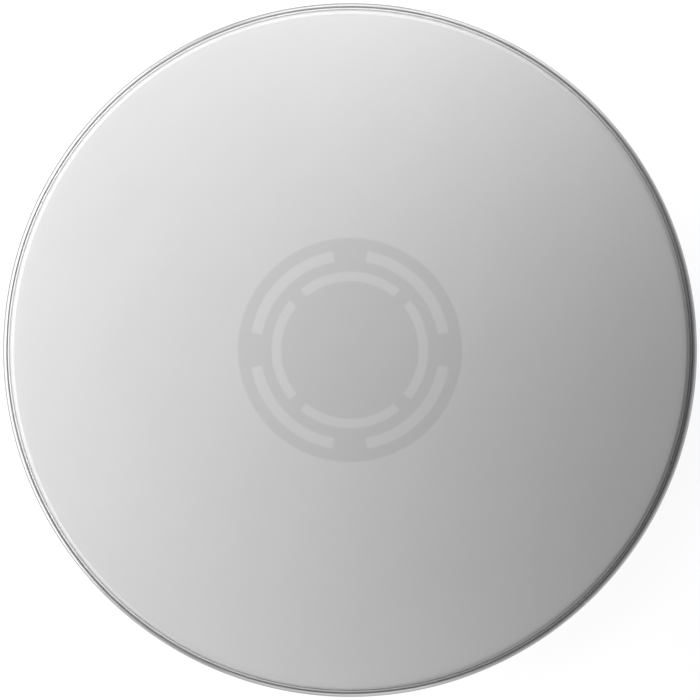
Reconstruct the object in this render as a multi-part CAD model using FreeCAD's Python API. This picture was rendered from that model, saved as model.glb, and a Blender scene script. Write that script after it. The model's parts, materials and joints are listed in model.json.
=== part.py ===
"""A 14 inch drum head: a two-ply film with a centre dot, bonded into an aluminium hoop."""

import FreeCAD, Part
import math
import os

# Hoop: an aluminium channel rolled into a ring, with its open side up
bore_radius = 178.0
channel_wall = 0.8
hoop_height = 8.6
foot_radius = 1.2
shoulder_radius = 1.9
lip_land = 0.45
inner_wall_drop = 0.8
weld_width = 1.2
weld_azimuth = -47.0

# Film: two plies, face to face, with one collar and an edge that turns outwards in the channel
top_ply_thickness = 0.25
bottom_ply_thickness = 0.25
collar_rise = 7.4
collar_lean = 8.0
crest_radius = 2.2
skirt_depth = 2.9
flange_bend_radius = 0.6
flange_reach = 1.6
key_hole_count = 48
key_hole_radius = 0.8

# Resin that locks the film in the channel
inner_resin_gap = 0.3
resin_mouth = 1.3
resin_recess = 0.4
resin_sag = 0.15

# Sprayed coat on the playing surface
coat_thickness = 0.06
coat_margin = 0.5

# Centre dot, stuck under the film, with two rings of arc slots
dot_radius = 59.0
dot_thickness = 0.125
dot_adhesive_thickness = 0.05
dot_rim_width = 6.2
outer_slot_width = 5.8
slot_land_width = 5.8
inner_slot_width = 4.95
outer_slot_span = 70.0
inner_slot_span = 79.0
slot_corner_radius = 1.0
slots_per_ring = 4

# How far every cutter runs past what it cuts
overrun = 1.0

# Radii, stacked outwards from the bore
inner_wall_face = bore_radius + channel_wall
film_inner_radius = inner_wall_face + inner_resin_gap
film_thickness = top_ply_thickness + bottom_ply_thickness
film_outer_radius = film_inner_radius + film_thickness
lip_radius = film_outer_radius + resin_mouth
shoulder_centre_radius = lip_radius + lip_land
hoop_outer_radius = shoulder_centre_radius + shoulder_radius
outer_wall_face = hoop_outer_radius - channel_wall

# Heights above the base of the hoop
lip_underside = hoop_height - channel_wall
shoulder_base = hoop_height - shoulder_radius
inner_wall_round = channel_wall / 2
inner_face_top = hoop_height - inner_wall_drop - inner_wall_round
resin_level = hoop_height - resin_recess
film_top = hoop_height + collar_rise
flange_bend_height = resin_level - skirt_depth
inner_bend_radius = foot_radius - channel_wall

# The collar leans in from the resin's surface to the crest, whose centre follows from it
lean = math.radians(collar_lean)
crest_centre_height = film_top - crest_radius
collar_length = (crest_centre_height + crest_radius * math.sin(lean) - resin_level) / math.cos(lean)
crest_centre_radius = film_outer_radius - crest_radius * math.cos(lean) - collar_length * math.sin(lean)

origin = FreeCAD.Vector(0, 0, 0)
up = FreeCAD.Vector(0, 0, 1)


def at(radius, height):
    """A point of a section, in the plane through the axis."""
    return FreeCAD.Vector(radius, 0, height)


def around(centre, radius, degrees):
    """The point at an angle on a circle in the section's plane, from the outward direction upwards."""
    angle = math.radians(degrees)
    return centre + at(radius * math.cos(angle), radius * math.sin(angle))


def chain(start, *steps):
    """Edges through points in turn: a point ends a line, and a pair is an arc's middle and its end."""
    edges = []
    here = start
    for step in steps:
        if isinstance(step, tuple):
            middle, end = step
            edges.append(Part.Arc(here, middle, end).toShape())
        else:
            end = step
            edges.append(Part.makeLine(here, end))
        here = end
    return edges


def bend(centre, radius, first, last):
    """A chain's step round an arc, from one angle to another."""
    return around(centre, radius, (first + last) / 2), around(centre, radius, last)


def ring(edges, start=0.0, span=360.0):
    """The solid that a closed section sweeps round the axis."""
    face = Part.Face(Part.Wire(Part.__sortEdges__(edges)))
    face.rotate(origin, up, start)
    return face.revolve(origin, up, span)


def disc(radius, base, thickness):
    """A flat round layer on the axis."""
    return Part.makeCylinder(radius, thickness, at(0, base))


def channel_hollow():
    """The channel's inside, from the top of its inner wall round to the underside of the lip."""
    floor_bend_height = channel_wall + inner_bend_radius
    inner_corner = at(inner_wall_face + inner_bend_radius, floor_bend_height)
    outer_corner = at(outer_wall_face - inner_bend_radius, floor_bend_height)
    shoulder = at(shoulder_centre_radius, shoulder_base)
    return chain(
        at(inner_wall_face, inner_face_top),
        at(inner_wall_face, floor_bend_height),
        bend(inner_corner, inner_bend_radius, 180, 270),
        at(outer_corner.x, channel_wall),
        bend(outer_corner, inner_bend_radius, 270, 360),
        at(outer_wall_face, shoulder_base),
        bend(shoulder, shoulder_radius - channel_wall, 0, 90),
        at(lip_radius, lip_underside),
    )


def hoop_section():
    """The channel's wall: its hollow, closed by the lip, the shoulder, the feet and the bore."""
    shoulder = at(shoulder_centre_radius, shoulder_base)
    outer_foot = at(hoop_outer_radius - foot_radius, foot_radius)
    inner_foot = at(bore_radius + foot_radius, foot_radius)
    wall_end = at(bore_radius + inner_wall_round, inner_face_top)
    outside = chain(
        at(lip_radius, lip_underside),
        at(lip_radius, hoop_height),
        at(shoulder_centre_radius, hoop_height),
        bend(shoulder, shoulder_radius, 90, 0),
        at(hoop_outer_radius, foot_radius),
        bend(outer_foot, foot_radius, 0, -90),
        at(inner_foot.x, 0),
        bend(inner_foot, foot_radius, 270, 180),
        at(bore_radius, inner_face_top),
        bend(wall_end, inner_wall_round, 180, 0),
    )
    return channel_hollow() + outside


def weld_span():
    """The angle that the weld takes of the hoop's outside, in degrees."""
    return math.degrees(weld_width / hoop_outer_radius)


def flesh_hoop():
    """The rolled channel, open where its two ends are welded."""
    return ring(hoop_section(), weld_azimuth + weld_span() / 2, 360.0 - weld_span())


def hoop_weld():
    """The butt weld, ground flush, that closes the ring."""
    return ring(hoop_section(), weld_azimuth - weld_span() / 2, weld_span())


def film_line(depth):
    """One face of the film, at a depth below its upper face, from the axis to the turned-out edge."""
    crest = at(crest_centre_radius, crest_centre_height)
    edge_bend = at(film_outer_radius + flange_bend_radius, flange_bend_height)
    face_radius = film_outer_radius - depth
    edge_height = flange_bend_height - flange_bend_radius - depth
    return chain(
        at(0, film_top - depth),
        at(crest_centre_radius, film_top - depth),
        bend(crest, crest_radius - depth, 90, collar_lean),
        at(face_radius, resin_level - depth * math.tan(lean / 2)),
        at(face_radius, flange_bend_height),
        bend(edge_bend, flange_bend_radius + depth, 180, 270),
        at(film_outer_radius + flange_reach, edge_height),
    )


def key_holes():
    """Punched holes through the upright skirt, where the resin grips the film."""
    hole_height = (resin_level + flange_bend_height) / 2
    length = film_thickness + 2 * overrun
    holes = []
    for index in range(key_hole_count):
        hole = Part.makeCylinder(key_hole_radius, length, at(film_inner_radius - overrun, hole_height), at(1, 0))
        hole.rotate(origin, up, index * 360.0 / key_hole_count)
        holes.append(hole)
    return holes


def film_layer(upper_depth, lower_depth):
    """The film between two depths below its upper face, with its key holes."""
    upper = film_line(upper_depth)
    lower = film_line(lower_depth)
    upper_end = upper[-1].Vertexes[-1].Point
    lower_end = lower[-1].Vertexes[-1].Point
    ends = [
        Part.makeLine(at(0, film_top - upper_depth), at(0, film_top - lower_depth)),
        Part.makeLine(upper_end, lower_end),
    ]
    return ring(upper + lower + ends).cut(key_holes())


def resin_bead():
    """Resin cast in the channel, with a hollow surface in its mouth, less the film that stands in it."""
    mouth_middle = at((film_outer_radius + lip_radius) / 2, resin_level - resin_sag)
    surface = chain(
        at(inner_wall_face, inner_face_top),
        at(film_outer_radius, inner_face_top),
        at(film_outer_radius, resin_level),
        (mouth_middle, at(lip_radius, resin_level)),
        at(lip_radius, lip_underside),
    )
    return ring(channel_hollow() + surface).cut(film_layer(0, film_thickness))


def arc_slot(outer_radius, width, span, azimuth, base, height):
    """A cutter for one arc slot with rounded corners, centred on an azimuth."""
    inner = Part.makeCylinder(outer_radius - width, height, at(0, base), up, span)
    slot = Part.makeCylinder(outer_radius, height, at(0, base), up, span).cut(inner)
    corners = [edge for edge in slot.Edges if abs(edge.BoundBox.ZLength - height) < edge.Length * 1e-6]
    slot = slot.makeFillet(slot_corner_radius, corners)
    slot.rotate(origin, up, azimuth - span / 2)
    return slot


def dot_slots(base, thickness):
    """Cutters for both rings of slots: the outer ring on the diagonals, the inner ring on the axes."""
    outer_ring_radius = dot_radius - dot_rim_width
    inner_ring_radius = outer_ring_radius - outer_slot_width - slot_land_width
    height = thickness + 2 * overrun
    pitch = 360.0 / slots_per_ring
    slots = []
    for index in range(slots_per_ring):
        azimuth = index * pitch
        slots.append(arc_slot(outer_ring_radius, outer_slot_width, outer_slot_span,
                              azimuth + pitch / 2, base - overrun, height))
        slots.append(arc_slot(inner_ring_radius, inner_slot_width, inner_slot_span,
                              azimuth, base - overrun, height))
    return slots


def dot_layer(base, thickness):
    """One die-cut layer of the centre dot."""
    return disc(dot_radius, base, thickness).cut(dot_slots(base, thickness))


def texture_coat():
    """The sprayed coat, which stops just short of the crest."""
    return disc(crest_centre_radius - coat_margin, film_top, coat_thickness)


adhesive_base = film_top - film_thickness - dot_adhesive_thickness
dot_base = adhesive_base - dot_thickness

nodes = {
    "flesh_hoop": flesh_hoop(),
    "hoop_weld": hoop_weld(),
    "resin_bead": resin_bead(),
    "top_ply": film_layer(0, top_ply_thickness),
    "bottom_ply": film_layer(top_ply_thickness, film_thickness),
    "texture_coat": texture_coat(),
    "dot_adhesive": dot_layer(adhesive_base, dot_adhesive_thickness),
    "centre_dot": dot_layer(dot_base, dot_thickness),
}

os.makedirs("parts", exist_ok=True)
for name, shape in nodes.items():
    shape.exportStep(f"parts/{name}.step")
    box = shape.optimalBoundingBox(False)
    print(f"{name}: {len(shape.Solids)} solid, valid {shape.isValid()}, volume {shape.Volume:.1f} mm3, "
          f"radius {box.XMax:.2f}, height {box.ZMin:.2f} to {box.ZMax:.2f} mm")
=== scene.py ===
"""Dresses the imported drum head: coated film, centre dot, rolled hoop and cast resin on a white floor."""

import json
import logging
import math
from dataclasses import dataclass, field
from enum import Enum, IntEnum
from typing import Any

import bpy
import numpy as np
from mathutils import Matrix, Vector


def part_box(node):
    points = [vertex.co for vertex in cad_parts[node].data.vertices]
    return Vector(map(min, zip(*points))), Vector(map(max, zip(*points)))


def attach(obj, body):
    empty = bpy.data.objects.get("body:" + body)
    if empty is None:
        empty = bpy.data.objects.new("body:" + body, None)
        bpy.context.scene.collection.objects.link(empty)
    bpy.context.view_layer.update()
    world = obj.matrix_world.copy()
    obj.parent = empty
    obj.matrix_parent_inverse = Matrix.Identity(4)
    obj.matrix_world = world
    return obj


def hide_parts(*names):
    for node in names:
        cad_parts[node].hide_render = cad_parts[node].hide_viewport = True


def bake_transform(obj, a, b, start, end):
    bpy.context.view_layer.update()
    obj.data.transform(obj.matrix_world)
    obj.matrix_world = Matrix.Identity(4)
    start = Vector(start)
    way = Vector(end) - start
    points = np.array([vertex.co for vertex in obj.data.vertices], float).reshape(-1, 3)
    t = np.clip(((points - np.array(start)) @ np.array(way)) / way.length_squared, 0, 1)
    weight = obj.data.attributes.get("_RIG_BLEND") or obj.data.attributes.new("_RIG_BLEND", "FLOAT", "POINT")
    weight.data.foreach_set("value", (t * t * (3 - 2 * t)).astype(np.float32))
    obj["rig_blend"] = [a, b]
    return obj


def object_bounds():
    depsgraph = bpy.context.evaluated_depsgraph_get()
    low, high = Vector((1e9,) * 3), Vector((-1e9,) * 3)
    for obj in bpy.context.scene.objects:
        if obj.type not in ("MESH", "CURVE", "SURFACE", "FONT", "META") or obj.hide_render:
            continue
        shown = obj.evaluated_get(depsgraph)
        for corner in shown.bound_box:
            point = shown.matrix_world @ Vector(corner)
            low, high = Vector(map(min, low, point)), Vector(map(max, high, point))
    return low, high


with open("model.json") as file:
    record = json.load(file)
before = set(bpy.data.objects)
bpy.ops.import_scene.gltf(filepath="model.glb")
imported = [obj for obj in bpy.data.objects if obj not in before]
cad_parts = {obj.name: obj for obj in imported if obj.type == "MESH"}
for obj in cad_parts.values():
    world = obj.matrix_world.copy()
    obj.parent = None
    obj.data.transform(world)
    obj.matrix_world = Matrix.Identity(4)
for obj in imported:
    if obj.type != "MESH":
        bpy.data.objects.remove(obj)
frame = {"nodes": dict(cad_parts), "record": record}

CAD_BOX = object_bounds()
BLEND_WEIGHTS = "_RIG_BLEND"
MM = 0.001
SHARP_TURN = 50.0        # degrees by which an edge turns before it shows as an edge
BEHIND_FACE = -1.0       # offset that puts a sheet's thickness behind its face
LOG = logging.getLogger("drum_head")

Array = np.ndarray
Point = tuple[float, float]
Colour = tuple[float, float, float, float]
Material = bpy.types.Material
Piece = bpy.types.Object
Node = bpy.types.Node
Socket = bpy.types.NodeSocket
Tree = bpy.types.NodeTree


class Body(Enum):
    """The two bodies of the frame: the stiff ring, and the film that gives when struck."""

    HOOP = "hoop"
    MEMBRANE = "membrane"


# Sections and surfaces


def arc(centre: Point, radius: float, first: float, last: float, count: int) -> Array:
    """Even points on a circular arc of a section: the centre plus the radius times cosine and sine.

    Args:
        centre: the arc's centre, as radius and height.
        radius: the arc's own radius.
        first: angle of the first point, in degrees from the outward direction upwards.
        last: angle of the last point.
        count: number of points.

    Returns:
        The points, one row each.
    """
    angles = np.radians(np.linspace(first, last, count))
    return np.column_stack([centre[0] + radius * np.cos(angles), centre[1] + radius * np.sin(angles)])


def around(count: int) -> Array:
    """Even azimuths of a full turn, in radians, without the last one, which is the first again."""
    return np.linspace(0.0, 2 * math.pi, count, endpoint=False)


@dataclass
class Surface:
    """A mesh as whole arrays: points, quads and triangles, with a few polygons as end caps."""

    points: Array
    quads: Array
    triangles: Array = field(default_factory=lambda: np.empty((0, 3), int))
    caps: list[list[int]] = field(default_factory=list)

    @classmethod
    def turned(
        cls, section: Array, azimuth: Array, lift: Array | float = 0.0, *, loop: bool = False,
        ends: bool = False, keep: Array | None = None,
        poles: tuple[float | None, float | None] = (None, None),
    ) -> "Surface":
        """A section carried round the axis: radius times cosine and sine of azimuth, and height plus lift.

        Args:
            section: radius and height of each grid row, the outside on the right of the way along.
            azimuth: azimuth of each grid column, or of each point of the grid, row by row.
            lift: height added at each point.
            loop: the section closes on itself.
            ends: the turn is open, and flat caps close it.
            keep: which cells of the grid become faces; all do if it is None.
            poles: heights on the axis at which the first and last rows are drawn to a point.

        Returns:
            The surface, without the points that no face uses.
        """
        rows, columns = len(section), azimuth.shape[-1]
        angle = np.broadcast_to(azimuth, (rows, columns))
        radius = section[:, :1]
        height = np.broadcast_to(section[:, 1:] + lift, (rows, columns))
        points = np.stack([radius * np.cos(angle), radius * np.sin(angle), height], axis=-1).reshape(-1, 3)
        row_count, column_count = rows if loop else rows - 1, columns - 1 if ends else columns
        row, column = np.meshgrid(np.arange(row_count), np.arange(column_count), indexing="ij")
        here, above = row * columns, (row + 1) % rows * columns
        beside = (column + 1) % columns
        cells = np.stack([here + column, here + beside, above + beside, above + column], axis=-1)
        quads = cells.reshape(-1, 4) if keep is None else cells[keep]
        near = np.arange(columns)
        far = (near + 1) % columns
        last = (rows - 1) * columns
        fans = [np.empty((0, 3), int)]
        for tip_height, rim in zip(poles, ((far, near), (last + near, last + far))):
            if tip_height is not None:
                fans.append(np.column_stack([*rim, np.full(columns, len(points))]))
                points = np.vstack([points, [[0.0, 0.0, tip_height]]])
        end = np.arange(rows) * columns
        caps = [end.tolist(), (end[::-1] + columns - 1).tolist()] if ends else []
        return cls(points, quads, np.vstack(fans), caps).packed()

    def packed(self) -> "Surface":
        """Drops the points that no face uses.

        Returns:
            The same surface, with its points numbered anew.
        """
        corners = [self.quads.ravel(), self.triangles.ravel(), *[np.array(cap) for cap in self.caps]]
        used = np.unique(np.concatenate(corners).astype(int))
        new = np.zeros(len(self.points), int)
        new[used] = np.arange(len(used))
        caps = [new[cap].tolist() for cap in self.caps]
        return Surface(self.points[used], new[self.quads], new[self.triangles], caps)

    def walled(self, drop: float) -> "Surface":
        """A level sheet made solid: a copy below faces down, and walls stand on edges that only one face has.

        Args:
            drop: depth of the solid, in metres.

        Returns:
            The closed surface.
        """
        below = len(self.points)
        sides = np.vstack([
            np.column_stack([faces.ravel(), np.roll(faces, -1, axis=1).ravel()])
            for faces in (self.quads, self.triangles)
        ])
        code, back = sides @ [below, 1], sides @ [1, below]
        start, end = sides[~np.isin(code, back)].T
        walls = np.column_stack([start, start + below, end + below, end])
        return Surface(
            np.vstack([self.points, self.points - [0.0, 0.0, drop]]),
            np.vstack([self.quads, self.quads[:, ::-1] + below, walls]),
            np.vstack([self.triangles, self.triangles[:, ::-1] + below]),
        )

    def joined(self, other: "Surface") -> "Surface":
        """Puts another surface beside this one.

        Args:
            other: the surface to add.

        Returns:
            Both as one surface.
        """
        shift = len(self.points)
        return Surface(
            np.vstack([self.points, other.points]),
            np.vstack([self.quads, other.quads + shift]),
            np.vstack([self.triangles, other.triangles + shift]),
            self.caps + [[index + shift for index in cap] for cap in other.caps],
        )

    def piece(self, name: str, material: Material) -> Piece:
        """Puts the surface into a smooth-shaded object at the origin.

        Args:
            name: the object's name.
            material: its finish.

        Returns:
            The new object, linked into the scene.
        """
        mesh = bpy.data.meshes.new(name)
        mesh.from_pydata(self.points, [], self.quads.tolist() + self.triangles.tolist() + self.caps)
        mesh.polygons.foreach_set("use_smooth", np.ones(len(mesh.polygons), bool))
        mesh.materials.append(material)
        mesh.update()
        made = bpy.data.objects.new(name, mesh)
        bpy.context.scene.collection.objects.link(made)
        return made


def sharpen(piece: Piece) -> None:
    """Splits the piece's shading at its sharp edges."""
    piece.data.set_sharp_from_angle(angle=math.radians(SHARP_TURN))


# Finishes

# Sockets of a colour mix, by number, because its names stand for several kinds of data
MIX_SHARE, MIX_FIRST, MIX_SECOND, MIX_RESULT = 0, 6, 7, 2
# Kinds of node that come again and again
MATH, VECTOR_MATH, MAP_RANGE = "ShaderNodeMath", "ShaderNodeVectorMath", "ShaderNodeMapRange"
NOISE, MIX, BUMP = "ShaderNodeTexNoise", "ShaderNodeMix", "ShaderNodeBump"
LEVEL_PART = (1.0, 1.0, 0.0)
SMOOTH_DETAIL, GRAIN_DETAIL, CLOUD_DETAIL = 1.0, 3.0, 4.0


def linear(colour: str) -> Colour:
    """Turns an sRGB hex colour to linear, by the curve of the sRGB standard.

    Args:
        colour: the colour, as #RRGGBB.

    Returns:
        Linear red, green, blue and alpha.
    """
    shares = np.array([int(colour[i:i + 2], 16) for i in (1, 3, 5)]) / 255
    low, high = shares / 12.92, ((shares + 0.055) / 1.055) ** 2.4
    return (*np.where(shares <= 0.04045, low, high).tolist(), 1.0)


def per(size: float) -> float:
    """The texture scale, in repeats per metre, of a pattern with that size in metres."""
    return 1.0 / size


def add_node(tree: Tree, kind: str, inputs: dict[str | int, Any] | None = None, **settings: Any) -> Node:
    """Adds one node to a shader.

    Args:
        tree: the shader's node tree.
        kind: the node's type.
        inputs: input name or number, with its value or the output socket that feeds it.
        settings: the node's own options.

    Returns:
        The node.
    """
    node = tree.nodes.new(kind)
    for name, value in settings.items():
        setattr(node, name, value)
    for key, value in (inputs or {}).items():
        if isinstance(value, Socket):
            tree.links.new(value, node.inputs[key])
        else:
            node.inputs[key].default_value = value
    return node


@dataclass(frozen=True)
class Finish:
    """A surface finish: its name, colour and gloss, with patterns that each kind adds."""

    name: str
    colour: str
    roughness: float
    ior: float = 1.5
    metallic: float = 0.0

    def material(self) -> Material:
        """Makes the material: a surface shader that the patterns of the finish then feed.

        Returns:
            The material.
        """
        made = bpy.data.materials.new(self.name)
        made.use_nodes = True
        tree = made.node_tree
        tree.nodes.clear()
        shader = add_node(tree, "ShaderNodeBsdfPrincipled", {
            "Base Color": linear(self.colour),
            "Roughness": self.roughness,
            "Metallic": self.metallic,
            "IOR": self.ior,
        })
        add_node(tree, "ShaderNodeOutputMaterial", {"Surface": shader.outputs["BSDF"]})
        self.patterns(tree, shader, add_node(tree, "ShaderNodeTexCoord").outputs["Object"])
        return made

    def patterns(self, tree: Tree, shader: Node, place: Socket) -> None:
        """Feeds the shader with this finish's patterns; a bare finish has none."""

    def mottled(self, tree: Tree, place: Socket, size: float, other: str) -> Socket:
        """A cloudy mix of the finish's colour with another one.

        Args:
            tree: the shader's node tree.
            place: coordinates of the pattern.
            size: size of the clouds, in metres.
            other: the second colour, as sRGB hex.

        Returns:
            The colour socket.
        """
        noise = {"Vector": place, "Scale": per(size), "Detail": CLOUD_DETAIL}
        cloud = add_node(tree, NOISE, noise).outputs["Fac"]
        colours = {MIX_SHARE: cloud, MIX_FIRST: linear(self.colour), MIX_SECOND: linear(other)}
        return add_node(tree, MIX, colours, data_type="RGBA").outputs[MIX_RESULT]


@dataclass(frozen=True)
class SprayedCoat(Finish):
    """White acrylic sprayed on film: matt, finely pebbled, and so thin that the dot shows faintly grey."""

    cloud_colour: str = "#D9D9D9"
    dot_tone: str = "#F1F1F1"
    roughness_swing: float = 0.06
    pebble: float = 0.9 * MM
    pebble_height: float = 0.07 * MM
    cloud: float = 45 * MM
    edge_blur: float = 0.7 * MM
    dot: "DotPattern | None" = None

    def patterns(self, tree: Tree, shader: Node, place: Socket) -> None:
        """Feeds the shader with clouds, the dot's shade and the spray's pebble.

        Args:
            tree: the shader's node tree.
            shader: the surface shader.
            place: object coordinates.
        """
        white = self.mottled(tree, place, self.cloud, self.cloud_colour)
        cover = self.dot.cover(tree, place, self.edge_blur)
        layers = {MIX_SHARE: cover, MIX_FIRST: white, MIX_SECOND: linear(self.dot_tone)}
        shade = add_node(tree, MIX, layers, data_type="RGBA", blend_type="MULTIPLY")
        tree.links.new(shade.outputs[MIX_RESULT], shader.inputs["Base Color"])
        # The spray's real grain of about 0.3 mm is drawn three times as coarse, so that it shows
        noise = {"Vector": place, "Scale": per(self.pebble), "Detail": GRAIN_DETAIL}
        grain = add_node(tree, NOISE, noise).outputs["Fac"]
        bump = add_node(tree, BUMP, {"Height": grain, "Distance": self.pebble_height})
        tree.links.new(bump.outputs["Normal"], shader.inputs["Normal"])
        gloss = add_node(tree, MAP_RANGE, {
            "Value": grain,
            "To Min": self.roughness - self.roughness_swing,
            "To Max": self.roughness + self.roughness_swing,
        })
        tree.links.new(gloss.outputs["Result"], shader.inputs["Roughness"])


@dataclass(frozen=True)
class PolyesterFilm(Finish):
    """Milky polyester film: smooth and glossy, with a faint haze in its body and long shallow ripples."""

    haze_colour: str = "#D6D6D6"
    haze: float = 18 * MM
    ripple: float = 7 * MM
    ripple_height: float = 0.015 * MM

    def patterns(self, tree: Tree, shader: Node, place: Socket) -> None:
        """Feeds the shader with haze and ripples.

        Args:
            tree: the shader's node tree.
            shader: the surface shader.
            place: object coordinates.
        """
        tree.links.new(self.mottled(tree, place, self.haze, self.haze_colour), shader.inputs["Base Color"])
        noise = {"Vector": place, "Scale": per(self.ripple), "Detail": SMOOTH_DETAIL}
        wave = add_node(tree, NOISE, noise).outputs["Fac"]
        bump = add_node(tree, BUMP, {"Height": wave, "Distance": self.ripple_height})
        tree.links.new(bump.outputs["Normal"], shader.inputs["Normal"])


@dataclass(frozen=True)
class RolledAluminium(Finish):
    """Mill-finish aluminium: satin grey, with fine lines that the forming rolls leave along the ring."""

    metallic: float = 1.0
    stain_colour: str = "#A8A8AA"
    line_tone: str = "#DCDCDC"
    faint_line: float = 0.3
    strong_line: float = 0.7
    roughness_swing: float = 0.08
    # Real roll lines of about 0.2 mm are drawn more than three times as coarse, so that they show
    line: float = 0.7 * MM
    line_height: float = 0.07 * MM
    line_run: float = 60 * MM
    ring_radius: float = 180 * MM
    stain: float = 14 * MM

    def patterns(self, tree: Tree, shader: Node, place: Socket) -> None:
        """Feeds the shader with stains and roll lines: noise over height less radius, long along the ring.

        Args:
            tree: the shader's node tree.
            shader: the surface shader.
            place: object coordinates.
        """
        height = add_node(tree, "ShaderNodeSeparateXYZ", {0: place}).outputs["Z"]
        level = add_node(tree, VECTOR_MATH, {0: place, 1: LEVEL_PART}, operation="MULTIPLY").outputs[0]
        radius = add_node(tree, VECTOR_MATH, {0: level}, operation="LENGTH").outputs["Value"]
        across = add_node(tree, MATH, {0: height, 1: radius}, operation="SUBTRACT").outputs[0]
        upright = add_node(tree, "ShaderNodeCombineXYZ", {2: across}).outputs[0]
        way = add_node(tree, VECTOR_MATH, {0: level}, operation="NORMALIZE").outputs[0]
        drawn_out = self.ring_radius * self.line / self.line_run
        parts = {0: way, 1: (drawn_out, drawn_out, 0.0), 2: upright}
        ring = add_node(tree, VECTOR_MATH, parts, operation="MULTIPLY_ADD").outputs[0]
        noise = {"Vector": ring, "Scale": per(self.line), "Detail": GRAIN_DETAIL}
        lines = add_node(tree, NOISE, noise).outputs["Fac"]
        contrast = {"Value": lines, "From Min": self.faint_line, "From Max": self.strong_line}
        layers = {
            MIX_SHARE: add_node(tree, MAP_RANGE, contrast).outputs["Result"],
            MIX_FIRST: self.mottled(tree, place, self.stain, self.stain_colour),
            MIX_SECOND: linear(self.line_tone),
        }
        toned = add_node(tree, MIX, layers, data_type="RGBA", blend_type="MULTIPLY")
        tree.links.new(toned.outputs[MIX_RESULT], shader.inputs["Base Color"])
        bump = add_node(tree, BUMP, {"Height": lines, "Distance": self.line_height})
        tree.links.new(bump.outputs["Normal"], shader.inputs["Normal"])
        gloss = add_node(tree, MAP_RANGE, {
            "Value": lines,
            "To Min": self.roughness - self.roughness_swing,
            "To Max": self.roughness + self.roughness_swing,
        })
        tree.links.new(gloss.outputs["Result"], shader.inputs["Roughness"])


@dataclass(frozen=True)
class CastResin(Finish):
    """Cured resin: off-white and a little glossy, with soft flow marks and pinhead bubbles."""

    flow_colour: str = "#D2D2D1"
    flow: float = 5 * MM
    bubble_spacing: float = 1.1 * MM
    bubble_share: float = 0.35
    bubble_height: float = 0.03 * MM

    def patterns(self, tree: Tree, shader: Node, place: Socket) -> None:
        """Feeds the shader with flow marks and bubbles.

        Args:
            tree: the shader's node tree.
            shader: the surface shader.
            place: object coordinates.
        """
        tree.links.new(self.mottled(tree, place, self.flow, self.flow_colour), shader.inputs["Base Color"])
        cells = add_node(tree, "ShaderNodeTexVoronoi", {"Vector": place, "Scale": per(self.bubble_spacing)})
        dome = add_node(tree, MAP_RANGE, {
            "Value": cells.outputs["Distance"],
            "From Max": self.bubble_share,
            "To Min": 1.0,
            "To Max": 0.0,
        }).outputs["Result"]
        bump = add_node(tree, BUMP, {"Height": dome, "Distance": self.bubble_height})
        tree.links.new(bump.outputs["Normal"], shader.inputs["Normal"])


@dataclass(frozen=True)
class DotPattern:
    """Where the centre dot lies under the film: a disc less two rings of arc slots with rounded corners."""

    radius: float
    rim_width: float = 6.2 * MM
    outer_slot_width: float = 5.8 * MM
    land_width: float = 5.8 * MM
    inner_slot_width: float = 4.95 * MM
    outer_span: float = 70.0
    inner_span: float = 79.0
    corner: float = 1.0 * MM
    slots_per_ring: int = 4

    def rings(self) -> tuple[Point, Point]:
        """Works the slots' radii in from the dot's rim.

        Returns:
            Inner and outer radius of the outer slots, and then of the inner slots.
        """
        outer_edge = self.radius - self.rim_width
        outer_base = outer_edge - self.outer_slot_width
        inner_edge = outer_base - self.land_width
        return (outer_base, outer_edge), (inner_edge - self.inner_slot_width, inner_edge)

    def cover(self, tree: Tree, place: Socket, blur: float) -> Socket:
        """The share of dot at each place, from signed distances to the disc and to the slots.

        A slot's distance is the length of what lies past its middle line by more than its half-size less
        its corner, less the corner. Outer slots lie on the diagonals, and inner ones on the axes.

        Args:
            tree: the shader's node tree.
            place: object coordinates.
            blur: half-width of the soft edge, in metres.

        Returns:
            A value socket, 1 over the dot and 0 beside it.
        """
        axes = add_node(tree, "ShaderNodeSeparateXYZ", {0: place}).outputs
        level = add_node(tree, VECTOR_MATH, {0: place, 1: LEVEL_PART}, operation="MULTIPLY").outputs[0]
        radius = add_node(tree, VECTOR_MATH, {0: level}, operation="LENGTH").outputs["Value"]
        azimuth = add_node(tree, MATH, {0: axes["Y"], 1: axes["X"]}, operation="ARCTAN2").outputs[0]
        half_pitch = math.pi / self.slots_per_ring
        from_axis = add_node(tree, MATH, {0: azimuth, 1: half_pitch}, operation="PINGPONG").outputs[0]
        from_diagonal = add_node(tree, MATH, {0: half_pitch, 1: from_axis}, operation="SUBTRACT").outputs[0]
        beside = add_node(tree, MATH, {0: radius, 1: self.radius}, operation="SUBTRACT").outputs[0]
        slots = zip(self.rings(), (self.outer_span, self.inner_span), (from_diagonal, from_axis))
        for (base, edge), span, turn in slots:
            middle = (base + edge) / 2
            half_size = ((edge - base) / 2 - self.corner, middle * math.radians(span) / 2 - self.corner, 0.0)
            across = add_node(tree, MATH, {0: radius, 1: middle}, operation="SUBTRACT").outputs[0]
            along = add_node(tree, MATH, {0: turn, 1: middle}, operation="MULTIPLY").outputs[0]
            off = add_node(tree, "ShaderNodeCombineXYZ", {0: across, 1: along}).outputs[0]
            size = add_node(tree, VECTOR_MATH, {0: off}, operation="ABSOLUTE").outputs[0]
            past = add_node(tree, VECTOR_MATH, {0: size, 1: half_size}, operation="SUBTRACT").outputs[0]
            outside = add_node(tree, VECTOR_MATH, {0: past}, operation="MAXIMUM").outputs[0]
            gap = add_node(tree, VECTOR_MATH, {0: outside}, operation="LENGTH").outputs["Value"]
            in_slot = add_node(tree, MATH, {0: self.corner, 1: gap}, operation="SUBTRACT").outputs[0]
            beside = add_node(tree, MATH, {0: beside, 1: in_slot}, operation="MAXIMUM").outputs[0]
        edge = {"Value": beside, "From Min": blur, "From Max": -blur}
        return add_node(tree, MAP_RANGE, edge, interpolation_type="SMOOTHSTEP").outputs["Result"]


# The drum head


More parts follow.
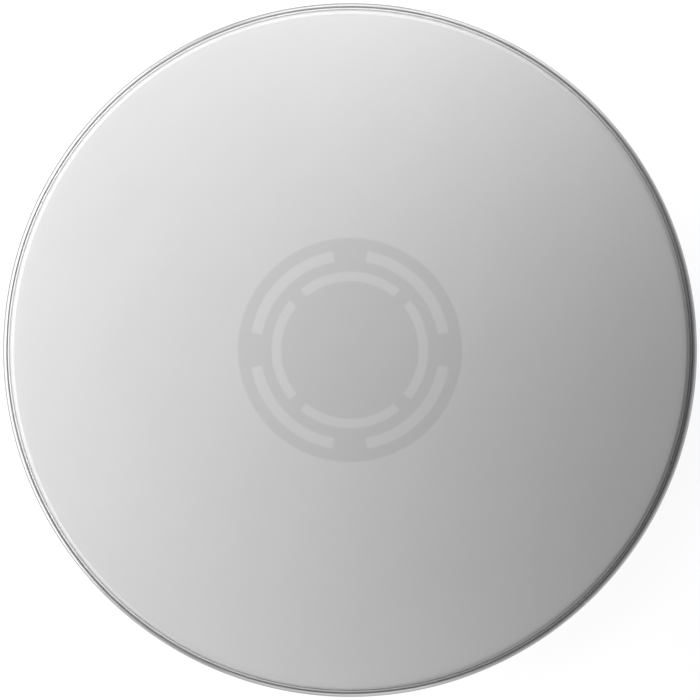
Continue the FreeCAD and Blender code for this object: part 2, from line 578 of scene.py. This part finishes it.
@dataclass(frozen=True)
class HeadSizes:
    """Sizes that the pieces share, in metres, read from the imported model."""

    bore_radius: float
    hoop_radius: float
    hoop_height: float
    film_top: float
    film_edge_radius: float
    coat_radius: float
    coat_top: float
    dot_radius: float
    dot_top: float
    dot_base: float
    adhesive_top: float

    @classmethod
    def from_frame(cls) -> "HeadSizes":
        """Reads the mounts and the nodes' boxes.

        Returns:
            The sizes.
        """
        mounts = {mount["name"]: mount for mount in frame["record"]["mounts"]}
        high = {node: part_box(node)[1] for node in frame["nodes"]}
        return cls(
            bore_radius=mounts["shell_bore"]["dims"]["r_mm"] * MM,
            hoop_radius=mounts["hoop_outside"]["dims"]["r_mm"] * MM,
            hoop_height=high["flesh_hoop"].z,
            film_top=high["top_ply"].z,
            film_edge_radius=high["top_ply"].x,
            coat_radius=high["texture_coat"].x,
            coat_top=high["texture_coat"].z,
            dot_radius=high["centre_dot"].x,
            dot_top=high["centre_dot"].z,
            dot_base=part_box("centre_dot")[0].z,
            adhesive_top=high["dot_adhesive"].z,
        )


def bow(piece: Piece, rim: float) -> None:
    """Lets a layer of the film bow when it is struck: one less the squared share of the rim's radius moves.

    Args:
        piece: the layer.
        rim: radius at which the film stays still.
    """
    low, high = CAD_BOX
    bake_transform(piece, Body.HOOP.value, Body.MEMBRANE.value, start=(0.0, 0.0, low.z), end=(0.0, 0.0, high.z))
    points = np.empty(len(piece.data.vertices) * 3, np.float32)
    piece.data.vertices.foreach_get("co", points)
    reach = np.hypot(points[0::3], points[1::3]) / rim
    piece.data.attributes[BLEND_WEIGHTS].data.foreach_set("value", np.clip(1.0 - reach**2, 0.0, 1.0))


@dataclass
class RolledHoop:
    """The flesh hoop: a channel with a rolled lip, carried round from one side of its weld to the other."""

    sizes: HeadSizes
    wall: float = 0.8 * MM
    foot_radius: float = 1.2 * MM
    shoulder_radius: float = 1.9 * MM
    lip_land: float = 0.45 * MM
    lip_round: float = 0.22 * MM
    inner_wall_drop: float = 0.8 * MM
    weld_width: float = 1.2 * MM
    weld_azimuth: float = -47.0
    columns: int = 480
    weld_columns: int = 5
    shoulder_rows: int = 16
    bend_rows: int = 8
    small_bend_rows: int = 5
    wall_end_rows: int = 9

    def lip_radius(self) -> float:
        """Radius of the lip's free edge."""
        return self.sizes.hoop_radius - self.shoulder_radius - self.lip_land

    def shoulder_centre(self) -> Point:
        """Centre of the bend between the outer wall and the lip."""
        return self.sizes.hoop_radius - self.shoulder_radius, self.sizes.hoop_height - self.shoulder_radius

    def wall_end_height(self) -> float:
        """Height at which the inner wall's rounded top starts."""
        return self.sizes.hoop_height - self.inner_wall_drop - self.wall / 2

    def channel(self) -> Array:
        """The channel's inside.

        Returns:
            Its rows, from under the lip round to the top of the inner wall.
        """
        wall, bend = self.wall, self.foot_radius - self.wall
        outer, inner = self.sizes.hoop_radius - wall, self.sizes.bore_radius + wall
        return np.vstack([
            arc(self.shoulder_centre(), self.shoulder_radius - wall, 90, 0, self.bend_rows),
            arc((outer - bend, self.foot_radius), bend, 0, -90, self.small_bend_rows),
            arc((inner + bend, self.foot_radius), bend, 270, 180, self.small_bend_rows),
            [(inner, self.wall_end_height())],
        ])

    def section(self) -> Array:
        """The whole wall of the channel as one loop.

        Returns:
            Its rows, from the base out and round.
        """
        s, wall, foot = self.sizes, self.wall, self.foot_radius
        lip_centre = (self.lip_radius() + self.lip_round, s.hoop_height - self.lip_round)
        wall_end = (s.bore_radius + wall / 2, self.wall_end_height())
        return np.vstack([
            arc((s.hoop_radius - foot, foot), foot, 270, 360, self.bend_rows),
            arc(self.shoulder_centre(), self.shoulder_radius, 0, 90, self.shoulder_rows),
            arc(lip_centre, self.lip_round, 90, 180, self.small_bend_rows),
            [(self.lip_radius(), s.hoop_height - wall)],
            self.channel(),
            arc(wall_end, wall / 2, 0, 180, self.wall_end_rows)[1:],
            arc((s.bore_radius + foot, foot), foot, 180, 270, self.bend_rows),
        ])

    def build(self, metal: Material, weld_metal: Material) -> list[Piece]:
        """Makes the hoop and its weld.

        Args:
            metal: finish of the rolled channel.
            weld_metal: finish of the ground weld.

        Returns:
            The hoop and the weld.
        """
        half = self.weld_width / self.sizes.hoop_radius / 2
        seam = math.radians(self.weld_azimuth)
        way_round = np.linspace(seam + half, seam - half + 2 * math.pi, self.columns)
        across = np.linspace(seam - half, seam + half, self.weld_columns)
        pieces = []
        for name, azimuth, finish, slot in (
            ("flesh_hoop", way_round, metal, "hoop_aluminium"),
            ("hoop_weld", across, weld_metal, "weld_aluminium"),
        ):
            surface = Surface.turned(self.section(), azimuth, loop=True, ends=True)
            piece = surface.piece(f"{name}_dressed", finish)
            sharpen(piece)
            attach(piece, Body.HOOP.value)
            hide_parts(name)
            pieces.append(piece)
        return pieces


@dataclass
class FormedFilm:
    """The two plies: flat, crest, collar and punched skirt, with an edge that turns out in the channel."""

    sizes: HeadSizes
    hoop: RolledHoop
    ply: float = 0.25 * MM
    resin_mouth: float = 1.3 * MM
    resin_recess: float = 0.4 * MM
    lean: float = 8.0
    crest_radius: float = 2.2 * MM
    skirt_depth: float = 2.9 * MM
    edge_bend: float = 0.6 * MM
    hole_radius: float = 0.8 * MM
    holes: int = 48
    hole_sides: int = 18
    columns_per_hole: int = 10
    edge_rows: int = 3
    bend_rows: int = 8
    collar_rows: int = 7
    crest_rows: int = 14
    flat_rows: int = 20

    def outer_radius(self) -> float:
        """Radius of the film's outside where it stands in the resin."""
        return self.hoop.lip_radius() - self.resin_mouth

    def resin_level(self) -> float:
        """Height at which the film comes out of the resin."""
        return self.sizes.hoop_height - self.resin_recess

    def bend_height(self) -> float:
        """Height of the centre of the bend at the film's edge."""
        return self.resin_level() - self.skirt_depth

    def hole_height(self) -> float:
        """Height of the punched holes, in the middle of the upright skirt."""
        return self.resin_level() - self.skirt_depth / 2

    def crest_centre(self) -> Point:
        """Centre of the crest's bend, from which the collar leans out to the resin.

        Returns:
            Its radius and height.
        """
        lean, height = math.radians(self.lean), self.sizes.film_top - self.crest_radius
        rise = height + self.crest_radius * math.sin(lean) - self.resin_level()
        return self.outer_radius() - self.crest_radius * math.cos(lean) - rise * math.tan(lean), height

    def section(self, depth: float) -> Array:
        """One face of the film, from its turned-out edge up to the flat, at a depth below the upper face.

        Args:
            depth: how far below the upper face, in metres.

        Returns:
            Radius and height of each grid row.
        """
        face, crest, flat = self.outer_radius() - depth, self.crest_centre(), self.sizes.film_top - depth
        rim = self.sizes.film_edge_radius
        edge_centre = (self.outer_radius() + self.edge_bend, self.bend_height())
        edge_height = self.bend_height() - self.edge_bend - depth
        foot = self.resin_level() - depth * math.tan(math.radians(self.lean / 2))
        hole = self.hole_rows()
        shoulder = arc(crest, self.crest_radius - depth, self.lean, 90, self.crest_rows)
        return np.vstack([
            np.linspace((rim, edge_height), (edge_centre[0], edge_height), self.edge_rows)[:-1],
            arc(edge_centre, self.edge_bend + depth, 270, 180, self.bend_rows),
            np.column_stack([np.full(len(hole), face), self.hole_height() + hole[:, 1]]),
            np.linspace((face, foot), shoulder[0], self.collar_rows)[:-1],
            shoulder,
            np.linspace((crest[0], flat), (0.0, flat), self.flat_rows)[1:-1],
        ])

    def hole_rows(self) -> Array:
        """Half-width and height of a hole's polygon at each of its rows, from the bottom up."""
        half_side = 180 / self.hole_sides
        return arc((0.0, 0.0), self.hole_radius, half_side - 90, 90 - half_side, self.hole_sides // 2)

    def columns(self, section: Array) -> tuple[Array, Array]:
        """Azimuths of the grid, drawn in to each hole's edge, and the cells that stay.

        In each pitch the first column lies on one side of the hole, the second on its other side, and the
        rest lead on evenly to the next hole.

        Args:
            section: the face's rows.

        Returns:
            The azimuth of each grid point, and whether each cell is film.
        """
        pitch, per_hole = 2 * math.pi / self.holes, self.columns_per_hole
        first = self.edge_rows - 1 + self.bend_rows
        last = first + self.hole_sides // 2
        half = np.full(len(section), pitch / per_hole / 2)
        half[first:last] = self.hole_rows()[:, 0] / section[first, 0]
        share = np.concatenate([[0.0], np.linspace(0.0, 1.0, per_hole)[:-1]])
        side = np.concatenate([[-1.0], 1.0 - 2.0 * share[1:]])
        local = side[None, :] * half[:, None] + share[None, :] * pitch
        starts = np.arange(self.holes)[None, :, None] * pitch
        azimuth = (local[:, None, :] + starts).reshape(len(section), -1)
        keep = np.ones((len(section) - 1, azimuth.shape[1]), bool)
        keep[first:last - 1, ::per_hole] = False
        return azimuth, keep

    def build(self, upper: Material, lower: Material) -> list[Piece]:
        """Makes the two plies.

        Args:
            upper: finish of the top ply.
            lower: finish of the bottom ply.

        Returns:
            The top ply and the bottom ply.
        """
        pieces = []
        for name, depth, finish, slot in (
            ("top_ply", 0.0, upper, "upper_film"),
            ("bottom_ply", self.ply, lower, "lower_film"),
        ):
            section = self.section(depth)
            azimuth, keep = self.columns(section)
            sheet = Surface.turned(section, azimuth, keep=keep, poles=(None, self.sizes.film_top - depth))
            piece = sheet.piece(f"{name}_dressed", finish)
            wall = piece.modifiers.new("thickness", "SOLIDIFY")
            wall.thickness = self.ply
            wall.offset = BEHIND_FACE
            wall.use_even_offset = True
            bow(piece, self.crest_centre()[0])
            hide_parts(name)
            pieces.append(piece)
        return pieces


@dataclass
class CoatLayer:
    """The sprayed coat: a disc that thins out towards its edge."""

    sizes: HeadSizes
    film: FormedFilm
    feather: float = 1.6 * MM
    edge_share: float = 0.9
    columns: int = 480
    flat_rows: int = 20
    feather_rows: int = 8

    def build(self, finish: Material) -> Piece:
        """Makes the coat: flat below, and above it thins along a quarter wave to nothing at the edge.

        Args:
            finish: the sprayed coat's material.

        Returns:
            The coat.
        """
        s = self.sizes
        inner = s.coat_radius - self.feather
        below = np.linspace(0.0, s.coat_radius, self.flat_rows)[1:]
        above = np.linspace(inner, 0.0, self.flat_rows)[1:-1]
        fade = np.linspace(self.edge_share, 0.0, self.feather_rows)
        feather = s.film_top + (s.coat_top - s.film_top) * np.cos(fade * math.pi / 2)
        section = np.vstack([
            np.column_stack([below, np.full_like(below, s.film_top)]),
            np.column_stack([inner + self.feather * fade, feather]),
            np.column_stack([above, np.full_like(above, s.coat_top)]),
        ])
        surface = Surface.turned(section, around(self.columns), poles=(s.film_top, s.coat_top))
        piece = surface.piece("texture_coat_dressed", finish)
        sharpen(piece)
        bow(piece, self.film.crest_centre()[0])
        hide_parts("texture_coat")
        return piece


class Sector(IntEnum):
    """The four groups of columns in each quarter of the dot, in the order in which they go round."""

    ON_AXIS = 0
    TO_DIAGONAL = 1
    ON_DIAGONAL = 2
    TO_AXIS = 3


@dataclass
class CentreDot:
    """The die-cut dot and the adhesive that holds it under the film."""

    sizes: HeadSizes
    film: FormedFilm
    pattern: DotPattern
    corner_rows: int = 6
    middle_rows: int = 8
    bridge_columns: int = 6
    slot_columns: int = 12

    def band_rows(self, base: float, edge: float) -> Array:
        """Radii across a ring of slots, close together at the slots' rounded corners."""
        share = 1 - np.cos(np.linspace(0.0, math.pi / 2, self.corner_rows))
        return np.concatenate([base + self.pattern.corner * share, edge - self.pattern.corner * share[::-1]])

    def rows(self) -> Array:
        """Radii of the grid's rows, from the rim inwards."""
        outer, inner = self.pattern.rings()
        return np.concatenate([
            np.linspace(0.0, inner[0], self.middle_rows)[1:-1],
            self.band_rows(*inner),
            self.band_rows(*outer),
            [self.pattern.radius],
        ])[::-1]

    def bridge(self, radius: Array, ring: Point, gap: float) -> Array:
        """Half the angle of the bridge between two slots at each radius, widened by the corners' rounding.

        Args:
            radius: radii of the rows.
            ring: inner and outer radius of the slots.
            gap: angle between two slots, in radians.

        Returns:
            The half-angle at each radius.
        """
        corner = self.pattern.corner
        inside = np.clip(np.minimum(radius - ring[0], ring[1] - radius), 0.0, corner)
        rounding = corner - np.sqrt(corner**2 - (corner - inside) ** 2)
        return gap / 2 + rounding / np.clip(radius, *ring)

    def grid(self) -> tuple[Array, Array, Array]:
        """Rows, azimuths and kept cells of the dot's face: slots are cells left out of a polar grid.

        Returns:
            The radii, the azimuth of each grid point, and whether each cell is dot.
        """
        pattern, radius = self.pattern, self.rows()
        outer, inner = pattern.rings()
        quarter = 2 * math.pi / pattern.slots_per_ring
        axis = self.bridge(radius, outer, quarter - math.radians(pattern.outer_span))[:, None]
        diagonal = self.bridge(radius, inner, quarter - math.radians(pattern.inner_span))[:, None]
        stops = [-axis, axis, quarter / 2 - diagonal, quarter / 2 + diagonal, quarter - axis]
        counts = [self.bridge_columns, self.slot_columns] * 2
        local = np.hstack([
            start + (end - start) * np.arange(count) / count
            for start, end, count in zip(stops[:-1], stops[1:], counts)
        ])
        starts = np.arange(pattern.slots_per_ring)[None, :, None] * quarter
        azimuth = (local[:, None, :] + starts).reshape(len(radius), -1)
        sector = np.tile(np.repeat(list(Sector), counts), pattern.slots_per_ring)
        middle = ((radius[:-1] + radius[1:]) / 2)[:, None]
        outer_slot = (middle > outer[0]) & (middle < outer[1]) & (sector != Sector.ON_AXIS)
        inner_slot = (middle > inner[0]) & (middle < inner[1]) & (sector != Sector.ON_DIAGONAL)
        return radius, azimuth, ~(outer_slot | inner_slot)

    def build(self, dot_film: Material, adhesive: Material) -> list[Piece]:
        """Makes the dot and its adhesive.

        Args:
            dot_film: finish of the dot.
            adhesive: finish of the adhesive layer.

        Returns:
            The adhesive and the dot.
        """
        s = self.sizes
        radius, azimuth, keep = self.grid()
        pieces = []
        for name, top, base, finish, slot in (
            ("dot_adhesive", s.adhesive_top, s.dot_top, adhesive, "dot_adhesive"),
            ("centre_dot", s.dot_top, s.dot_base, dot_film, "dot_film"),
        ):
            section = np.column_stack([radius, np.full_like(radius, top)])
            sheet = Surface.turned(section, azimuth, keep=keep, poles=(None, top))
            piece = sheet.walled(top - base).piece(f"{name}_dressed", finish)
            sharpen(piece)
            bow(piece, self.film.crest_centre()[0])
            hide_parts(name)
            pieces.append(piece)
        return pieces


@dataclass
class ResinBead:
    """Resin cast round the film's skirt, with a crowned surface in the mouth and a key through each hole."""

    sizes: HeadSizes
    hoop: RolledHoop
    film: FormedFilm
    key_reach: float = 0.15 * MM
    crown: float = 0.32 * MM
    crown_skew: float = 1.6
    lip_groove: float = 0.3 * MM
    film_groove: float = 0.6 * MM
    groove_share: float = 0.1
    ripple: float = 0.04 * MM
    ripples: tuple[int, ...] = (7, 19, 41)
    columns: int = 480
    mouth_rows: int = 17
    bend_rows: int = 6

    def mouth(self) -> tuple[Array, Array]:
        """The poured surface from lip to film: half a wave, skewed, less a fading groove at each side.

        Returns:
            Radius and height of each row, and the share of the ripples that it follows, a parabola.
        """
        film = self.film
        share = np.linspace(0.0, 1.0, self.mouth_rows)
        radius = np.linspace(self.hoop.lip_radius(), film.outer_radius(), self.mouth_rows)
        crown = self.crown * np.sin(math.pi * share**self.crown_skew)
        at_lip = self.lip_groove * np.exp(-share / self.groove_share)
        at_film = self.film_groove * np.exp((share - 1) / self.groove_share)
        height = film.resin_level() + crown - at_lip - at_film
        return np.column_stack([radius, height]), 4 * share * (1 - share)

    def slit(self) -> Array:
        """The walls of the slit that holds both plies.

        Returns:
            Their rows, from the mouth down, round the edge and up inside.
        """
        film, thickness = self.film, 2 * self.film.ply
        outside, edge = film.outer_radius(), self.sizes.film_edge_radius
        centre = (outside + film.edge_bend, film.bend_height())
        low = film.bend_height() - film.edge_bend
        return np.vstack([
            arc(centre, film.edge_bend, 180, 270, self.bend_rows),
            [(edge, low), (edge, low - thickness)],
            arc(centre, film.edge_bend + thickness, 270, 180, self.bend_rows),
            [(outside - thickness, self.hoop.wall_end_height())],
        ])

    def section(self) -> tuple[Array, Array]:
        """The bead as one loop: the channel's inside, the mouth and the slit.

        Returns:
            Its rows, and the share of the ripples that each row follows.
        """
        channel = self.hoop.channel()[::-1]
        walls = np.vstack([channel, [(self.hoop.lip_radius(), channel[-1, 1])]])
        (mouth, follows), slit = self.mouth(), self.slit()
        share = np.concatenate([np.zeros(len(walls)), follows, np.zeros(len(slit))])
        return np.vstack([walls, mouth, slit]), share

    def keys(self) -> Surface:
        """Short round plugs through the punched holes: a polygon carried along the radius.

        Returns:
            The plugs as one surface.
        """
        film, sides = self.film, self.film.hole_sides
        inside = film.outer_radius() - 2 * film.ply - self.key_reach
        reach = np.array([inside, film.outer_radius() + self.key_reach])[None, :, None]
        turn = around(film.holes)[:, None, None]
        angle = np.radians((np.arange(sides) + 0.5) * 360 / sides)[None, None, :]
        aside, up = film.hole_radius * np.cos(angle), film.hole_radius * np.sin(angle)
        x = reach * np.cos(turn) - aside * np.sin(turn)
        y = reach * np.sin(turn) + aside * np.cos(turn)
        points = np.stack(np.broadcast_arrays(x, y, film.hole_height() + up), axis=-1).reshape(-1, 3)
        start = np.arange(film.holes)[:, None] * 2 * sides
        here, beside = start + np.arange(sides), start + (np.arange(sides) + 1) % sides
        quads = np.stack([here, beside, beside + sides, here + sides], axis=-1).reshape(-1, 4)
        return Surface(points, quads, caps=[*here[:, ::-1].tolist(), *(here + sides).tolist()])

    def build(self, finish: Material) -> Piece:
        """Makes the bead: its poured surface rises and falls by a few slow waves round the ring.

        Args:
            finish: the resin's material.

        Returns:
            The bead.
        """
        section, follows = self.section()
        azimuth = around(self.columns)
        wave = sum(np.sin(count * azimuth + count) for count in self.ripples) / len(self.ripples)
        lift = self.ripple * follows[:, None] * wave[None, :]
        surface = Surface.turned(section, azimuth, lift, loop=True).joined(self.keys())
        piece = surface.piece("resin_bead_dressed", finish)
        sharpen(piece)
        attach(piece, Body.HOOP.value)
        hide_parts("resin_bead")
        return piece


# Floor, lights and camera


@dataclass(frozen=True)
class Lamp:
    """A soft lamp with its width level, aimed at the film on the line from its middle to below the lamp."""

    name: str
    azimuth: float
    elevation: float
    distance: float
    width: float
    height: float
    power: float
    spread: float = 180.0
    aim: float = 0.0

    def build(self, target_height: float) -> None:
        """Hangs the lamp.

        Args:
            target_height: height of the film that it aims at, in metres.
        """
        lamp = bpy.data.lights.new(self.name, "AREA")
        lamp.energy = self.power
        lamp.shape = "RECTANGLE"
        lamp.size = self.height
        lamp.size_y = self.width
        lamp.spread = math.radians(self.spread)
        made = bpy.data.objects.new(self.name, lamp)
        azimuth, elevation = math.radians(self.azimuth), math.radians(self.elevation)
        level, rise = self.distance * math.cos(elevation), self.distance * math.sin(elevation)
        made.location = (level * math.cos(azimuth), level * math.sin(azimuth), target_height + rise)
        tilt = math.atan2(rise, level - self.aim)
        made.rotation_euler = (0.0, math.pi / 2 - tilt, azimuth)
        bpy.context.scene.collection.objects.link(made)


@dataclass
class Studio:
    """A white floor, soft lamps round the head, faint light from all sides, and a camera above."""

    sizes: HeadSizes
    lamps: tuple[Lamp, ...]
    floor_width: float = 8.0
    floor_gap: float = 0.05 * MM
    floor_colour: str = "#8C8C8C"
    floor_glow: float = 0.9
    glow_start: float = 0.27
    glow_end: float = 0.42
    wall_colour: str = "#FFFFFF"
    sky_level: float = 0.08
    white_level: float = 1.0
    ceiling_level: float = 0.33
    wall_top: float = 20.0
    ceiling_edge: float = 70.0
    camera_distance: float = 3.0
    sensor: float = 36.0
    photo_width: int = 700
    hoop_pixels: float = 347.2

    def build(self) -> None:
        """Makes the floor, the world, the lamps and the camera."""
        self.floor()
        self.world()
        for lamp in self.lamps:
            lamp.build(self.sizes.film_top)
        self.camera()

    def seen(self, tree: Tree) -> Socket:
        """Tells rays that see the background, mirrored or through glass too, from the light that it sheds.

        Args:
            tree: the shader's node tree.

        Returns:
            A value socket, 1 where it is seen and 0 for its light.
        """
        path = add_node(tree, "ShaderNodeLightPath").outputs
        direct = {0: path["Is Camera Ray"], 1: path["Is Glossy Ray"]}
        mirrored = add_node(tree, MATH, direct, operation="MAXIMUM").outputs[0]
        through = {0: mirrored, 1: path["Is Transmission Ray"]}
        return add_node(tree, MATH, through, operation="MAXIMUM").outputs[0]

    def floor(self) -> None:
        """A wide floor that looks white, keeps the head's shadow and meets the white walls without a line."""
        half = self.floor_width / 2
        corners = np.array([[-half, -half], [half, -half], [half, half], [-half, half]])
        points = np.column_stack([corners, np.full(len(corners), -self.floor_gap)])
        made = bpy.data.materials.new("studio_floor")
        made.use_nodes = True
        tree = made.node_tree
        tree.nodes.clear()
        matt = add_node(tree, "ShaderNodeBsdfDiffuse", {"Color": linear(self.floor_colour)}).outputs[0]
        place = add_node(tree, "ShaderNodeTexCoord").outputs["Object"]
        away = add_node(tree, VECTOR_MATH, {0: place}, operation="LENGTH").outputs["Value"]
        whiter = add_node(tree, MAP_RANGE, {
            "Value": away,
            "From Min": self.glow_start,
            "From Max": self.glow_end,
            "To Min": self.floor_glow,
            "To Max": self.white_level,
        })
        glow = add_node(tree, "ShaderNodeEmission", {"Strength": whiter.outputs["Result"]}).outputs[0]
        lit = add_node(tree, "ShaderNodeAddShader", {0: matt, 1: glow}).outputs[0]
        mix = add_node(tree, "ShaderNodeMixShader", {0: self.seen(tree), 1: matt, 2: lit})
        add_node(tree, "ShaderNodeOutputMaterial", {"Surface": mix.outputs[0]})
        Surface(points, np.array([[0, 1, 2, 3]])).piece("floor", made)

    def world(self) -> None:
        """White walls, dimmer towards the ceiling where they are seen, and a faint even light on the head."""
        made = bpy.data.worlds.new("studio")
        made.use_nodes = True
        tree = made.node_tree
        tree.nodes.clear()
        way = add_node(tree, "ShaderNodeTexCoord").outputs["Generated"]
        wall = add_node(tree, MAP_RANGE, {
            "Value": add_node(tree, "ShaderNodeSeparateXYZ", {0: way}).outputs["Z"],
            "From Min": math.sin(math.radians(self.wall_top)),
            "From Max": math.sin(math.radians(self.ceiling_edge)),
            "To Min": self.white_level,
            "To Max": self.ceiling_level,
        }, interpolation_type="SMOOTHSTEP")
        level = add_node(tree, MAP_RANGE, {
            "Value": self.seen(tree),
            "To Min": self.sky_level,
            "To Max": wall.outputs["Result"],
        })
        light = {"Color": linear(self.wall_colour), "Strength": level.outputs["Result"]}
        sky = add_node(tree, "ShaderNodeBackground", light)
        add_node(tree, "ShaderNodeOutputWorld", {"Surface": sky.outputs[0]})
        bpy.context.scene.world = made

    def camera(self) -> None:
        """Looks straight down, with the hoop as wide in the frame as in the photograph."""
        lens = bpy.data.cameras.new("camera")
        share = self.hoop_pixels / self.photo_width
        lens.sensor_width = self.sensor
        away = self.camera_distance - self.sizes.hoop_height
        lens.lens = self.sensor * share * away / self.sizes.hoop_radius
        made = bpy.data.objects.new("camera", lens)
        made.location = (0.0, 0.0, self.camera_distance)
        bpy.context.scene.collection.objects.link(made)
        bpy.context.scene.camera = made
        bpy.context.scene.view_settings.view_transform = "Standard"


def main() -> None:
    """Builds the head piece by piece, logs each piece's points and faces, and sets up the studio."""
    logging.basicConfig(level=logging.INFO, format="%(name)s: %(message)s")
    sizes = HeadSizes.from_frame()
    hoop = RolledHoop(sizes)
    film = FormedFilm(sizes, hoop)
    pattern = DotPattern(sizes.dot_radius)
    # Aluminium as the rolls leave it: satin grey that streaks light along the ring
    aluminium = RolledAluminium("mill_finish_aluminium", "#BFBFC0", 0.34)
    # A weld ground flush: a paler, duller strip with finer lines than the hoop beside it
    weld = RolledAluminium("ground_aluminium_weld", "#DDDDDD", 0.42, line=0.35 * MM)
    # Sprayed acrylic: an even matt white that scatters the lamps softly, with the dot as a faint grey
    coat = SprayedCoat("sprayed_white_acrylic", "#DEDEDE", 0.7, ior=1.46, dot=pattern)
    # Drawn polyester with filler: milky, with a long soft highlight along the collar
    upper = PolyesterFilm("milky_polyester_film", "#DEDEDE", 0.34, ior=1.58)
    # The film below it: smoother and a shade greyer, seen from inside the drum
    lower = PolyesterFilm("clear_polyester_film", "#D9D9DA", 0.24, ior=1.58, haze_colour="#D1D1D2")
    # Die-cut polyester: plain grey and glossy, so that the slots stand out against the film above
    dot_film = PolyesterFilm("dot_polyester_film", "#C4C4C5", 0.28, ior=1.58, haze_colour="#BCBCBE")
    # Pressure-sensitive acrylic: a dull, faintly yellow line at the slots' edges
    adhesive = CastResin("acrylic_adhesive", "#D6D3CA", 0.5)
    # Cast epoxy: off-white with a soft shine where its poured surface crowns
    resin = CastResin("cast_epoxy", "#EAEAEA", 0.4, ior=1.55)
    pieces = [
        *hoop.build(aluminium.material(), weld.material()),
        ResinBead(sizes, hoop, film).build(resin.material()),
        *film.build(upper.material(), lower.material()),
        CoatLayer(sizes, film).build(coat.material()),
        *CentreDot(sizes, film, pattern).build(dot_film.material(), adhesive.material()),
    ]
    for piece in pieces:
        LOG.info("%s: %d points, %d faces", piece.name, len(piece.data.vertices), len(piece.data.polygons))
    lamps = (
        Lamp("strip", azimuth=170.0, elevation=28.0, distance=0.42, width=1.0, height=0.3, power=2.354),
        Lamp("top", azimuth=90.0, elevation=28.0, distance=0.36, width=0.22, height=0.22, power=0.362),
        Lamp("front", azimuth=270.0, elevation=28.0, distance=0.36, width=0.22, height=0.22, power=0.177),
        Lamp("side", azimuth=60.0, elevation=15.0, distance=0.36, width=0.22, height=0.22, power=0.178),
        Lamp("beam", azimuth=155.0, elevation=45.0, distance=0.42, width=1.0, height=0.3, power=0.152,
             spread=45.0, aim=0.12),
    )
    Studio(sizes, lamps).build()


if __name__ == "__main__":
    main()
